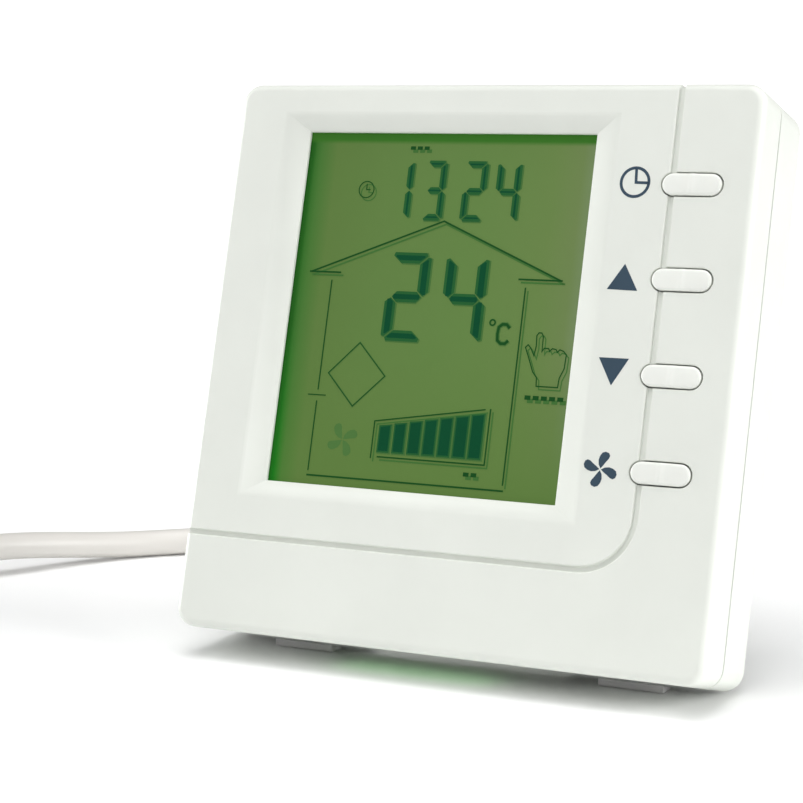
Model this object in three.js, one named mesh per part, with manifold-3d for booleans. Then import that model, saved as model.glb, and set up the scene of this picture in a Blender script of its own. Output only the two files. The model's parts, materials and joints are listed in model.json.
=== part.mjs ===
// Desktop room controller with a clock and switching programme: an 86 mm square
// unit with a large liquid crystal display and four push buttons. It leans back
// on two front feet and a fold-out rear stand, and has a signal lead.
//
// Outer frame: millimetres, +Z up, floor at z = 0, the front faces -Y.
// Unit frame (before the lean): x to the right, y is the depth behind the face,
// z is the height above the bottom edge.
import * as THREE from 'three';
import { mergeVertices } from 'three/addons/utils/BufferGeometryUtils.js';
import Module from 'manifold-3d';

const wasm = await Module();
wasm.setup();

// ---- driving dimensions -------------------------------------------------
const SIZE = 86; // side of the square front
const HALF = SIZE / 2;
const LEAN = THREE.MathUtils.degToRad(15.7); // the face leans back by this
const LIFT = 5.2; // front bottom edge above the floor
const CORNER = 3; // corner radius of the outline
const FILLET = 1.3; // edge rounding of the front
const WALL = 2; // wall thickness of both shells
const GAP = 0.3; // clearance between neighbouring pieces
const COVER_DEPTH = 8; // front cover, from the face to the seam
const SEAM = 0.4; // open seam between the shells
const BACK = 20; // depth of the rear face
const REAR_FILLET = 2.5; // edge rounding of the rear
const BOARD = { front: 8.6, back: 10.2 }; // circuit board faces
const REAR_PARTS = BOARD.back + GAP; // depth where rear components start

const WINDOW = { x0: -30.66, x1: 17.38, z0: 23.56, z1: 78.64, depth: 1.5 };
const BEZEL = { x0: -34.41, x1: 21.23, z0: 21.07, z1: 81.31 };
const GROOVE = { x: 30.35, z: 14.6, radius: 8.2, width: 0.9, depth: 0.6 };

const BUTTON = { x: 33.36, length: 9.0, width: 3.2, crown: 0.4 };
const BUTTON_HEIGHTS = { clock: 71.0, up: 57.05, down: 43.1, fan: 29.15 };
const HOLE_PLAY = 0.2; // gap round each button

const LCD = { x0: -32.64, x1: 19.36, z0: 21.3, z1: 80.9, front: 2.3, back: 4.3 };
const GUIDE = { front: 4.6, back: 7.6 }; // backlight light guide
const STRIP_HEIGHT = 2.4; // elastomeric connector strips

const BOSS_X = 37.5;
const BOARD_SCREW_HEIGHTS = [7, 79.4];
const CASE_SCREW_HEIGHTS = [21, 64];

const PIVOT = { depth: 17.9, height: 58 }; // stand hinge
const STAND = { width: 30, reach: 57.6, thick: 2.4, lug: 5, barrel: 2 };
const RECESS = { half: 16, floor: 16.2, pocket: 14.3, top: 65.5, step: 54.5 };
const PAD = { height: 2.2, depth: 2.8, width: 26 };

const FOOT = { x: 27.3, width: 10.2, y0: 13.4, y1: 16.6 };
const GLAND = { x: -27, height: 13, reach: 22 };

const CORD = { radius: 2.4 };
const COIL = {
  outer: 35.5, inner: 20.5, play: 0.3, layers: 2, tieAngle: 80, tieWidth: 8, tieThick: 0.8,
};
const COIL_MEETS_LEAD = [-119, 9]; // x and distance behind the front edge
const ARRIVAL_DEG = -28; // where the lead meets the coil, seen from above
const TAIL_RADIUS = 35.5; // the tail leaves the coil's left side, heading backwards

// ---- derived placement --------------------------------------------------
const SIN = Math.sin(LEAN);
const COS = Math.cos(LEAN);
const pivotUp = LIFT - PIVOT.depth * SIN + PIVOT.height * COS;
const pivotBack = PIVOT.depth * COS + PIVOT.height * SIN;
const STAND_TILT = Math.acos(pivotUp / STAND.reach); // from straight down, backwards
const OPEN = LEAN + STAND_TILT; // opening angle of the stand
const tipBack = pivotBack + STAND.reach * Math.sin(STAND_TILT);
const frontMost = FILLET * (COS + SIN - 1);
const FRONT_Y = -(frontMost + tipBack + PAD.depth / 2) / 2; // centres the object on y = 0

const PLASTIC = { color: 0xe4e6df, roughness: 0.5 };
const material = (color, roughness = 0.5, metalness = 0) =>
  new THREE.MeshStandardMaterial({ color, roughness, metalness });
const white = () => material(PLASTIC.color, PLASTIC.roughness);

// ---- geometry helpers ---------------------------------------------------
const rectangle = (x0, x1, z0, z1, radius = 0) => {
  const shape = new THREE.Shape();
  if (radius === 0) {
    shape.moveTo(x0, z0).lineTo(x1, z0).lineTo(x1, z1).lineTo(x0, z1);
    return shape;
  }
  const quarter = Math.PI / 2;
  shape.absarc(x1 - radius, z0 + radius, radius, -quarter, 0);
  shape.absarc(x1 - radius, z1 - radius, radius, 0, quarter);
  shape.absarc(x0 + radius, z1 - radius, radius, quarter, 2 * quarter);
  shape.absarc(x0 + radius, z0 + radius, radius, 2 * quarter, 3 * quarter);
  return shape;
};

const obround = (x, z, length, width) =>
  rectangle(x - length / 2, x + length / 2, z - width / 2, z + width / 2, width / 2 - 0.2);

// A flat plate in the unit frame: outline in x and z, from depth front to back.
const plate = (shape, front, back, curveSegments = 3) => {
  const geometry = new THREE.ExtrudeGeometry(shape, {
    depth: back - front, bevelEnabled: false, curveSegments,
  });
  return geometry.rotateX(Math.PI / 2).translate(0, back, 0);
};

// A plate whose two outer edges are rounded by radius.
const softPlate = (shape, front, back, radius, steps = 4) => {
  const geometry = new THREE.ExtrudeGeometry(shape, {
    depth: back - front - 2 * radius,
    bevelEnabled: true,
    bevelThickness: radius,
    bevelSize: radius,
    bevelOffset: -radius,
    bevelSegments: steps,
    curveSegments: 3,
  });
  return geometry.rotateX(Math.PI / 2).translate(0, back - radius, 0);
};

const block = (x0, x1, y0, y1, z0, z1) =>
  new THREE.BoxGeometry(x1 - x0, y1 - y0, z1 - z0)
    .translate((x0 + x1) / 2, (y0 + y1) / 2, (z0 + z1) / 2);

// Round bar along the depth axis at (x, z).
const barrel = (x, z, radius, front, back, sides = 16) =>
  new THREE.CylinderGeometry(radius, radius, back - front, sides)
    .translate(x, (front + back) / 2, z);

// Round bar along x at (y, z).
const axle = (y, z, radius, x0, x1, sides = 16) =>
  new THREE.CylinderGeometry(radius, radius, x1 - x0, sides)
    .rotateZ(Math.PI / 2)
    .translate((x0 + x1) / 2, y, z);

// Turned profile [radius, depth] around the depth axis at (x, z).
const turned = (profile, x, z, sides = 16) =>
  new THREE.LatheGeometry(profile.map(([r, y]) => new THREE.Vector2(r, y)), sides)
    .translate(x, 0, z);

// A side profile [depth, height] extruded along x.
const sideProfile = (points, x0, x1) => {
  const shape = new THREE.Shape(points.map(([y, z]) => new THREE.Vector2(y, z)));
  return new THREE.ExtrudeGeometry(shape, { depth: x1 - x0, bevelEnabled: false })
    .rotateX(Math.PI / 2)
    .rotateZ(Math.PI / 2)
    .translate(x0, 0, 0);
};

const solid = (geometry) => {
  const bare = geometry.clone();
  bare.deleteAttribute('normal');
  bare.deleteAttribute('uv');
  const merged = mergeVertices(bare, 1e-4);
  const index = merged.index.array;
  const triangles = [];
  for (let i = 0; i < index.length; i += 3) {
    const [a, b, c] = [index[i], index[i + 1], index[i + 2]];
    if (a !== b && b !== c && c !== a) triangles.push(a, b, c);
  }
  return new wasm.Manifold(new wasm.Mesh({
    numProp: 3,
    vertProperties: Float32Array.from(merged.attributes.position.array),
    triVerts: Uint32Array.from(triangles),
  }));
};

const join = (...geometries) => geometries.map(solid).reduce((sum, next) => sum.add(next));
const cut = (base, ...geometries) =>
  geometries.map(solid).reduce((rest, tool) => rest.subtract(tool), base);

const surface = (manifold) => {
  const { vertProperties, triVerts } = manifold.getMesh();
  const geometry = new THREE.BufferGeometry();
  geometry.setAttribute('position', new THREE.BufferAttribute(vertProperties, 3));
  geometry.setIndex(new THREE.BufferAttribute(triVerts, 1));
  geometry.computeVertexNormals();
  return geometry;
};

const controller = new THREE.Group();
const unit = new THREE.Group();
unit.position.set(0, FRONT_Y, LIFT);
unit.rotation.x = -LEAN;
controller.add(unit);

const addTo = (group, name, geometry, finish) => {
  const mesh = new THREE.Mesh(geometry.isBufferGeometry ? geometry : surface(geometry), finish);
  mesh.name = name;
  group.add(mesh);
  return mesh;
};

// ---- front cover --------------------------------------------------------
const bosses = (heights) => heights.flatMap((z) => [[-BOSS_X, z], [BOSS_X, z]]);

// The sloped frame round the display window: its front outline is the bezel's,
// its back outline is the window's.
function bezelSlope() {
  const over = 0.3;
  const grow = 1 + over / WINDOW.depth;
  const geometry = new THREE.BoxGeometry(1, 1, 1);
  const place = geometry.attributes.position;
  const spread = (inner, outer, front) => (front ? inner + (outer - inner) * grow : inner);
  for (let i = 0; i < place.count; i += 1) {
    const front = place.getY(i) < 0;
    const right = place.getX(i) > 0;
    const top = place.getZ(i) > 0;
    place.setXYZ(
      i,
      spread(right ? WINDOW.x1 : WINDOW.x0, right ? BEZEL.x1 : BEZEL.x0, front),
      front ? -over : WINDOW.depth,
      spread(top ? WINDOW.z1 : WINDOW.z0, top ? BEZEL.z1 : BEZEL.z0, front),
    );
  }
  return geometry;
}

// The fine groove that runs down from the top edge, round a quarter turn and
// out to the left edge.
function grooveOutline() {
  const { x, z, radius, width } = GROOVE;
  const half = width / 2;
  const centre = { x: x - radius, z: z + radius };
  const shape = new THREE.Shape();
  shape.moveTo(x - half, SIZE + 2);
  shape.absarc(centre.x, centre.z, radius - half, 0, -Math.PI / 2, true);
  shape.lineTo(-HALF - 2, z + half);
  shape.lineTo(-HALF - 2, z - half);
  shape.absarc(centre.x, centre.z, radius + half, -Math.PI / 2, 0, false);
  shape.lineTo(x + half, SIZE + 2);
  return shape;
}

function frontCover() {
  const outline = rectangle(-HALF, HALF, 0, SIZE, CORNER);
  const rim = HALF - WALL;
  const body = cut(
    solid(softPlate(outline, 0, COVER_DEPTH + 4, FILLET)),
    block(-HALF - 1, HALF + 1, COVER_DEPTH, COVER_DEPTH + 9, -1, SIZE + 1),
    plate(rectangle(-rim, rim, WALL, SIZE - WALL, 1.5), WALL, COVER_DEPTH + 1),
  );
  const lip = cut(
    join(
      plate(rectangle(-rim - 0.2, rim + 0.2, WALL - 0.2, SIZE - WALL + 0.2, 1.6), 6, COVER_DEPTH),
      plate(rectangle(-rim + 0.3, rim - 0.3, WALL + 0.3, SIZE - WALL - 0.3, 1.3), 7, COVER_DEPTH + 1.8),
    ),
    plate(rectangle(-rim + 1.4, rim - 1.4, WALL + 1.4, SIZE - WALL - 1.4, 1), 5, COVER_DEPTH + 3),
  );
  const posts = bosses([...BOARD_SCREW_HEIGHTS, ...CASE_SCREW_HEIGHTS]);
  const solidPosts = posts.map(([x, z]) => barrel(x, z, 2.6, WALL - 0.2, BOARD.front - GAP));
  const bores = posts.map(([x, z]) => barrel(x, z, 1.5, 4, BOARD.back));
  const holes = Object.values(BUTTON_HEIGHTS).map((z) =>
    plate(obround(BUTTON.x, z, BUTTON.length + 2 * HOLE_PLAY, BUTTON.width + 2 * HOLE_PLAY), -1, 3));
  const { x, z, width } = GROOVE;
  const notch = 0.5;
  return cut(
    solidPosts.map(solid).reduce((sum, post) => sum.add(post), body.add(lip)),
    ...bores,
    ...holes,
    bezelSlope(),
    block(WINDOW.x0, WINDOW.x1, -1, 3, WINDOW.z0, WINDOW.z1),
    plate(grooveOutline(), -1, GROOVE.depth),
    block(-HALF - 1, -HALF + notch, -1, COVER_DEPTH + 1, z - width / 2, z + width / 2),
    block(x - width / 2, x + width / 2, -1, COVER_DEPTH + 1, SIZE - notch, SIZE + 1),
  );
}
addTo(unit, 'front_cover', frontCover(), white());

// ---- display stack ------------------------------------------------------
function displayFrame() {
  const play = GAP;
  const wall = 1.3;
  const outer = rectangle(
    LCD.x0 - play - wall, LCD.x1 + play + wall, LCD.z0 - play - wall, LCD.z1 + play + wall, 1,
  );
  const inner = block(LCD.x0 - play, LCD.x1 + play, 0, 10, LCD.z0 - play, LCD.z1 + play);
  return cut(solid(plate(outer, LCD.front, BOARD.front - GAP)), inner);
}

function displayStack() {
  const { x0, x1, z0, z1 } = LCD;
  addTo(unit, 'lcd_glass', block(x0, x1, LCD.front, LCD.back, z0, z1), material(0x6d8f45, 0.15));
  addTo(unit, 'lcd_frame', displayFrame(), material(0x2a2c2e, 0.6));
  const shelf = STRIP_HEIGHT + 2 * GAP;
  addTo(
    unit, 'backlight_guide',
    block(x0, x1, GUIDE.front, GUIDE.back, z0 + shelf, z1 - shelf), material(0xbfe69a, 0.3),
  );
  const strip = (name, low) => addTo(
    unit, name,
    block(x0 + 2, x1 - 2, LCD.back + GAP, BOARD.front - GAP, low, low + STRIP_HEIGHT),
    material(0x8b8f96, 0.8),
  );
  strip('contact_strip_bottom', z0 + GAP);
  strip('contact_strip_top', z1 - GAP - STRIP_HEIGHT);
}
displayStack();

// ---- circuit board and what it carries ----------------------------------
function mainBoard() {
  const holes = bosses([...BOARD_SCREW_HEIGHTS, ...CASE_SCREW_HEIGHTS])
    .map(([x, z]) => barrel(x, z, 1.6, BOARD.front - 1, BOARD.back + 1));
  const outline = rectangle(-39.3, 39.3, 3.9, 82.1, 1);
  return cut(solid(plate(outline, BOARD.front, BOARD.back)), ...holes);
}
addTo(unit, 'main_board', mainBoard(), material(0x1f6b3a, 0.5));

const CELL = { x: 29, z: 40, radius: 8, thick: 3.2 };

function boardParts() {
  const top = REAR_PARTS;
  const black = () => material(0x1c1c1e, 0.6);
  const steel = () => material(0xb9bcc0, 0.3, 0.9);
  addTo(unit, 'microcontroller', plate(rectangle(-7, 7, 33, 47, 0.8), top, top + 1.5), black());
  addTo(unit, 'clock_crystal', plate(obround(0, 22, 11, 4.6), top, top + 3.4), steel());
  addTo(unit, 'voltage_regulator', block(-30, -23.5, top, top + 2.3, 70, 76.4), black());
  addTo(unit, 'storage_capacitor', axle(top + 3.1, 50, 3, -33, -22), material(0x26314d, 0.5));
  addTo(unit, 'buzzer', barrel(26, 14, 6, top, top + 4, 20), black());
  addTo(unit, 'temperature_sensor', barrel(-8, 8, 1.2, top, top + 3, 12), material(0x2b4a2b, 0.5));
  const holder = cut(
    solid(barrel(CELL.x, CELL.z, CELL.radius + 1.4, top, top + 3.4, 24)),
    barrel(CELL.x, CELL.z, CELL.radius + 0.4, top + 0.8, top + 5, 24),
  );
  addTo(unit, 'cell_holder', holder, black());
  const cellFront = top + 0.8 + GAP;
  addTo(
    unit, 'coin_cell',
    barrel(CELL.x, CELL.z, CELL.radius, cellFront, cellFront + CELL.thick, 24), steel(),
  );
}
boardParts();

// ---- push buttons and their switches ------------------------------------
function buttonCap(z) {
  const flange = WALL + GAP;
  return join(
    softPlate(obround(BUTTON.x, z, BUTTON.length, BUTTON.width), -BUTTON.crown, flange + 0.4, 0.35, 3),
    plate(obround(BUTTON.x, z, BUTTON.length + 2, BUTTON.width + 2), flange, flange + 0.8),
    barrel(BUTTON.x, z, 1.4, flange + 0.5, flange + 1.3, 12),
  );
}

const SWITCH = { front: 5.1, bore: 1.9, floor: 7.2, plunger: 1.5, half: 3 };

function pushButtons() {
  for (const [name, z] of Object.entries(BUTTON_HEIGHTS)) {
    addTo(unit, `button_${name}`, buttonCap(z), material(0xeff0ea, 0.4));
    addTo(
      unit, `plunger_${name}`,
      barrel(BUTTON.x, z, SWITCH.plunger, WALL + GAP + 1.3 + GAP, 6.4, 12), material(0x303030, 0.5),
    );
    const { half } = SWITCH;
    const body = cut(
      solid(block(BUTTON.x - half, BUTTON.x + half, SWITCH.front, BOARD.front - GAP, z - half, z + half)),
      barrel(BUTTON.x, z, SWITCH.bore, SWITCH.front - 1, SWITCH.floor, 12),
    );
    addTo(unit, `switch_${name}`, body, material(0x3a3a3c, 0.5));
  }
}
pushButtons();

// ---- rear shell ---------------------------------------------------------
function rearShell() {
  const front = COVER_DEPTH + SEAM;
  const rim = HALF - WALL;
  const inner = BACK - WALL;
  const { half, floor, pocket, top, step } = RECESS;
  const outside = cut(
    solid(softPlate(rectangle(-HALF, HALF, 0, SIZE, CORNER), 0, BACK, REAR_FILLET, 4)),
    block(-HALF - 1, HALF + 1, -1, front, -1, SIZE + 1),
    plate(rectangle(-rim, rim, WALL, SIZE - WALL, 1.5), 0, inner),
  );
  const casePosts = bosses(CASE_SCREW_HEIGHTS);
  const walls = [
    block(-half - 2, half + 2, floor - 1.8, inner + 0.5, 1, step + 2),
    block(-half - 2, half + 2, pocket - 1.8, inner + 0.5, step - 2, top + 2),
    ...casePosts.map(([x, z]) => barrel(x, z, 4.2, REAR_PARTS + 0.1, inner + 0.5)),
  ];
  const vents = [-4, -3, -2, -1, 0, 1, 2, 3, 4].flatMap((k) => [
    block(4.5 * k - 0.8, 4.5 * k + 0.8, 9.8, floor - 2.2, -1, WALL + 1),
    block(4.5 * k - 0.8, 4.5 * k + 0.8, 11, 16, SIZE - WALL - 1, SIZE + 1),
  ]);
  return cut(
    walls.map(solid).reduce((sum, wall) => sum.add(wall), outside),
    block(-half, half, floor, BACK + 1, -1, step + 0.1),
    block(-half, half, pocket, BACK + 1, step, top),
    axle(PIVOT.depth, PIVOT.height, 1.3, -half - 1.3, half + 3),
    ...casePosts.map(([x, z]) => barrel(x, z, 2.9, 14, BACK + 1)),
    ...casePosts.map(([x, z]) => barrel(x, z, 1.6, 9, 15)),
    barrel(GLAND.x, GLAND.height, 3.6, inner - 1, BACK + 1),
    ...vents,
  );
}
addTo(unit, 'rear_shell', rearShell(), white());

// ---- screws -------------------------------------------------------------
// A pan head at depth head (its front side), with the shank towards the face.
const screw = (x, z, head, tip, headRadius, shank) => turned(
  [[0, tip], [shank * 0.5, tip], [shank, tip + 0.8], [shank, head], [headRadius, head],
    [headRadius, head + 0.9], [headRadius * 0.7, head + 1.4], [0, head + 1.4]],
  x, z, 14,
);

function screws() {
  const steel = () => material(0xa9acb0, 0.35, 0.9);
  bosses(BOARD_SCREW_HEIGHTS).forEach(([x, z], i) => {
    addTo(unit, `board_screw_${i + 1}`, screw(x, z, BOARD.back + GAP, 5, 2.2, 1.1), steel());
  });
  bosses(CASE_SCREW_HEIGHTS).forEach(([x, z], i) => {
    addTo(unit, `case_screw_${i + 1}`, screw(x, z, 14 + GAP, 5, 2.5, 1.1), steel());
  });
}
screws();

// ---- lead entry: gland, terminal block and wires -------------------------
function leadEntry() {
  const { x, height, reach } = GLAND;
  const inner = BACK - WALL;
  const profile = [
    [0, inner - GAP - 1.3], [4.6, inner - GAP - 1.3], [4.6, inner - GAP], [3.3, inner - GAP],
    [3.3, BACK + GAP], [4.6, BACK + GAP], [4.6, BACK + 1.6], [4.0, BACK + 2.2],
    [2.9, BACK + reach], [0, BACK + reach],
  ];
  addTo(unit, 'cable_gland', turned(profile, x, height, 20), material(0xe2e3dd, 0.6));
  const block0 = { x0: -33.2, x1: -20.8, z0: 26, z1: 34 };
  addTo(
    unit, 'terminal_block',
    block(block0.x0, block0.x1, REAR_PARTS, REAR_PARTS + 6.6, block0.z0, block0.z1),
    material(0x2f7a4d, 0.5),
  );
  const colors = { red: 0xb02a2a, yellow: 0xd9b52a, green: 0x2f8f45, black: 0x202020 };
  const start = inner - GAP - 1.3 - GAP;
  const circle = new THREE.Shape();
  circle.absarc(0, 0, 0.55, 0, Math.PI * 2);
  Object.entries(colors).forEach(([name, color], i) => {
    const k = i - 1.5;
    const route = new THREE.CatmullRomCurve3([
      new THREE.Vector3(x + 1.4 * k, start, height),
      new THREE.Vector3(x + 1.6 * k, start - 1.6, height + 0.9),
      new THREE.Vector3(x + 2.0 * k, start - 2.4, height + 4),
      new THREE.Vector3(x + 2.4 * k, start - 2.5, block0.z0 - GAP),
    ]);
    const tube = new THREE.ExtrudeGeometry(circle, {
      steps: 8, extrudePath: route, bevelEnabled: false, curveSegments: 3,
    });
    addTo(unit, `wire_${name}`, tube, material(color, 0.5));
  });
}
leadEntry();

// ---- fold-out stand -----------------------------------------------------
function standPlate() {
  const { width, reach, thick, lug, barrel: round } = STAND;
  const half = width / 2;
  const end = reach - (PAD.height + GAP) / Math.cos(STAND_TILT);
  const slant = (thick / 2) * Math.tan(STAND_TILT); // the end is level when the stand is open
  const profile = [
    [-thick / 2, 0], [-thick / 2, slant - end], [thick / 2, -slant - end], [thick / 2, 0],
  ];
  return cut(
    join(
      sideProfile(profile, -half, half),
      axle(0, 0, round, -half, half, 20),
      block(-half, half, -1, 1, 0, lug),
    ),
    axle(0, 0, 1.3, -half - 1, half + 1),
  );
}

function stand() {
  const swing = new THREE.Group();
  swing.position.set(0, PIVOT.depth, PIVOT.height);
  swing.rotation.x = OPEN;
  unit.add(swing);
  addTo(swing, 'stand', standPlate(), white());
  const level = new THREE.Group();
  level.position.set(0, FRONT_Y + pivotBack, pivotUp);
  controller.add(level);
  const y = tipBack - pivotBack;
  const pad = block(
    -PAD.width / 2, PAD.width / 2, y - PAD.depth / 2, y + PAD.depth / 2, -pivotUp, PAD.height - pivotUp,
  );
  addTo(level, 'stand_pad', pad, material(0xc9cac6, 0.9));
  addTo(
    unit, 'hinge_rod',
    axle(PIVOT.depth, PIVOT.height, 1, -RECESS.half - 1, RECESS.half + 1.8), material(0xb0b3b7, 0.3, 0.9),
  );
}
stand();

// ---- front feet ---------------------------------------------------------
// Wedges under the leaning bottom wall, flat on the floor.
function feet() {
  const under = (y) => LIFT - y * Math.tan(LEAN) - GAP;
  const { x, width, y0, y1 } = FOOT;
  const profile = [[y0, 0], [y1, 0], [y1, under(y1)], [y0, under(y0)]];
  for (const [name, side] of [['foot_left', -1], ['foot_right', 1]]) {
    const foot = sideProfile(profile, side * x - width / 2, side * x + width / 2);
    addTo(controller, name, foot.translate(0, FRONT_Y, 0), material(0xd6d7d2, 0.9));
  }
}
feet();

// ---- signal lead --------------------------------------------------------
// Free route from the gland to the coil, [x, distance behind the front edge, z].
const glandEnd = [
  GLAND.x,
  (BACK + GLAND.reach) * COS + GLAND.height * SIN,
  LIFT - (BACK + GLAND.reach) * SIN + GLAND.height * COS,
];
const LEAD_ROUTE = [
  [-27, 48.6, 5.1], [-27.2, 53.5, 3.9], [-28.2, 59, 3.0], [-31, 65.5, 2.5], [-36, 71.5, 2.4],
  [-43, 76, 2.4], [-51, 78.4, 2.4], [-59.5, 78.6, 2.4], [-68, 76.9, 2.4], [-75.5, 73.6, 2.4],
  [-82.6, 68.5, 2.4], [-87.4, 64.2, 2.4], [-91.2, 59.6, 2.6], [-95.2, 53.6, 3.2],
  [-98.6, 47.4, 4.0], [-101.4, 41.5, 4.7], [-104.2, 36.2, 5.0],
];

function coilCentre() {
  const angle = THREE.MathUtils.degToRad(ARRIVAL_DEG);
  const meet = COIL_MEETS_LEAD;
  return [meet[0] - COIL.outer * Math.cos(angle), meet[1] - COIL.outer * Math.sin(angle)];
}

// Points on the straight approach that ends on the coil's outer turn.
function approach(before) {
  const angle = THREE.MathUtils.degToRad(ARRIVAL_DEG);
  const meet = COIL_MEETS_LEAD;
  return [meet[0] - before * Math.sin(angle), meet[1] + before * Math.cos(angle)];
}

const cordTube = (points, steps) => {
  const circle = new THREE.Shape();
  circle.absarc(0, 0, CORD.radius, 0, Math.PI * 2);
  const route = new THREE.CatmullRomCurve3(
    points.map(([x, y, z]) => new THREE.Vector3(x, y + FRONT_Y, z)), false, 'centripetal',
  );
  return new THREE.ExtrudeGeometry(circle, {
    steps, extrudePath: route, bevelEnabled: false, curveSegments: 5,
  });
};

function coilRing(centre) {
  const inner = COIL.inner - CORD.radius - COIL.play;
  const outer = COIL.outer + CORD.radius + COIL.play;
  const high = 2 * COIL.layers * CORD.radius + 0.9;
  const soft = 1.5;
  const profile = [
    [inner + soft, 0], [outer - soft, 0], [outer, soft], [outer, high - soft],
    [outer - soft, high], [inner + soft, high], [inner, high - soft], [inner, soft], [inner + soft, 0],
  ];
  const ring = new THREE.LatheGeometry(profile.map(([r, z]) => new THREE.Vector2(r, z)), 48)
    .rotateX(Math.PI / 2)
    .translate(centre[0], centre[1] + FRONT_Y, 0);
  return { ring, inner, outer, high };
}

function coilAndTie() {
  const centre = coilCentre();
  const { ring, inner, outer, high } = coilRing(centre);
  const { tieWidth, tieThick } = COIL;
  const bow = inner - Math.sqrt(inner ** 2 - (tieWidth / 2) ** 2); // the ring curves under the tie
  const frameOf = (grow, low, top, wide) =>
    block(inner - bow - grow, outer + grow, -wide / 2, wide / 2, low, top)
      .rotateZ(THREE.MathUtils.degToRad(COIL.tieAngle))
      .translate(centre[0], centre[1] + FRONT_Y, 0);
  const tie = cut(
    solid(frameOf(GAP + tieThick, 0, high + GAP + tieThick, tieWidth)),
    frameOf(GAP, tieThick, high + GAP, tieWidth + 2),
  );
  const notch = frameOf(2, -1, tieThick + GAP, tieWidth + 2 * GAP);
  addTo(controller, 'cord_coil', cut(solid(ring), notch), material(0xdededa, 0.5));
  addTo(controller, 'cord_tie', tie, material(0x3b3d40, 0.8));
  return centre;
}

function signalLead() {
  const centre = coilAndTie();
  const start = glandEnd.map((value, i) => value + GAP * [0, COS, -SIN][i]);
  const points = [
    start, ...LEAD_ROUTE,
    [...approach(24.5), 4.6], [...approach(20.5), 4.2],
  ];
  addTo(controller, 'cord_lead', cordTube(points, 36), material(0xdededa, 0.5));
  const x = centre[0] - TAIL_RADIUS;
  const tail = [22, 26, 30, 34, 37].map((s) => {
    const t = Math.min(1, (s - 8) / 28);
    const fall = t * t * (3 - 2 * t);
    return [x, centre[1] + s, 3 * CORD.radius + 0.05 - (2 * CORD.radius + 0.05) * fall];
  });
  addTo(controller, 'cord_tail', cordTube(tail, 4), material(0xdededa, 0.5));
  const face = centre[1] + 37 + GAP + FRONT_Y;
  const plug = join(
    block(x - 3.4, x + 3.4, face, face + 6, 0.2, 6),
    block(x - 5, x + 5, face + 5.5, face + 17, 0, 6.8),
  );
  const pins = block(x - 3.8, x + 3.8, face + 9, face + 18, 1.2, 5.6);
  addTo(controller, 'cord_plug', cut(plug, pins), material(0xe6e6e2, 0.5));
}
signalLead();

export default controller;
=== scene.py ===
import json
import math

import bmesh
import bpy
from mathutils import Matrix, Vector


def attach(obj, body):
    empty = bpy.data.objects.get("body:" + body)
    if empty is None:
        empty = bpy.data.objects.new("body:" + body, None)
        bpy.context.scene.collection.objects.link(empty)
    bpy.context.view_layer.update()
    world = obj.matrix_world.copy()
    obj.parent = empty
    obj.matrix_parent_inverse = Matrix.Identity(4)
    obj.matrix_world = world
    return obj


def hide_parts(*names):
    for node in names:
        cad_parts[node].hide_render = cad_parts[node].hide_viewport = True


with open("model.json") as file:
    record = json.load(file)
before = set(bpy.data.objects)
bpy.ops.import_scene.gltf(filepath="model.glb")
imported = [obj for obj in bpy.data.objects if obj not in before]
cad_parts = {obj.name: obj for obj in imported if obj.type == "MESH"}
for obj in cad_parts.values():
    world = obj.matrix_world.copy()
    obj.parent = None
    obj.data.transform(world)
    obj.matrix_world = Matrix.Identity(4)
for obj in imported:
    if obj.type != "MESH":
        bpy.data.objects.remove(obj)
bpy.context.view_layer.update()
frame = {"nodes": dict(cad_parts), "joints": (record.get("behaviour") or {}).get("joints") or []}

# The unit frame is in millimetres: x to the right, y the depth behind the face,
# z the height above the bottom edge. UNIT takes it to the row frame in metres.
MM = 0.001
nodes = frame["nodes"]
joints = {joint["name"]: joint for joint in frame["joints"]}
RIGHT = Vector((1, 0, 0))
DEPTH = Vector(joints["press_clock"]["axis"]).normalized()
UP = RIGHT.cross(DEPTH)


def lowest(node, direction):
    """How far a CAD node reaches against a direction."""
    return min(vertex.co.dot(direction) for vertex in nodes[node].data.vertices)


CORNER_EDGE = DEPTH * lowest("front_cover", DEPTH) + UP * lowest("front_cover", UP)
UNIT = (
    Matrix.Translation(CORNER_EDGE)
    @ Matrix((RIGHT, DEPTH, UP)).transposed().to_4x4()
    @ Matrix.Scale(MM, 4)
)
FRONT_Y = CORNER_EDGE.y / MM
SIDE = 86
HALF = SIDE / 2
PIVOT = Vector(joints["stand_fold"]["pos_m"])
STAND_REACH = 57.6
STAND_TILT = math.acos(PIVOT.z / MM / STAND_REACH)
STAND = (
    Matrix.Translation(PIVOT)
    @ Matrix.Rotation(STAND_TILT, 4, "X")
    @ Matrix.Scale(MM, 4)
)


# ---- camera -------------------------------------------------------------
def make_camera():
    data = bpy.data.cameras.new("camera")
    data.sensor_width = 36
    data.lens = 100.56
    data.clip_start = 0.01
    camera = bpy.data.objects.new("camera", data)
    bpy.context.scene.collection.objects.link(camera)
    camera.location = Vector((140.31, -287.354 + FRONT_Y, 86.197)) * MM
    camera.rotation_euler = (math.radians(90 - 7.78), 0, math.radians(26.58))
    bpy.context.scene.camera = camera


make_camera()


# ---- mesh helpers -------------------------------------------------------
def add_object(name, data):
    obj = bpy.data.objects.new(name, data)
    bpy.context.scene.collection.objects.link(obj)
    return obj


def solid(name, points, faces):
    """A mesh object with all its faces turned outwards."""
    mesh = bpy.data.meshes.new(name)
    mesh.from_pydata(points, [], faces)
    work = bmesh.new()
    work.from_mesh(mesh)
    bmesh.ops.remove_doubles(work, verts=work.verts, dist=1e-5)
    bmesh.ops.dissolve_degenerate(work, edges=work.edges, dist=1e-6)
    bmesh.ops.recalc_face_normals(work, faces=work.faces)
    work.to_mesh(mesh)
    work.free()
    return add_object(name, mesh)


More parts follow.
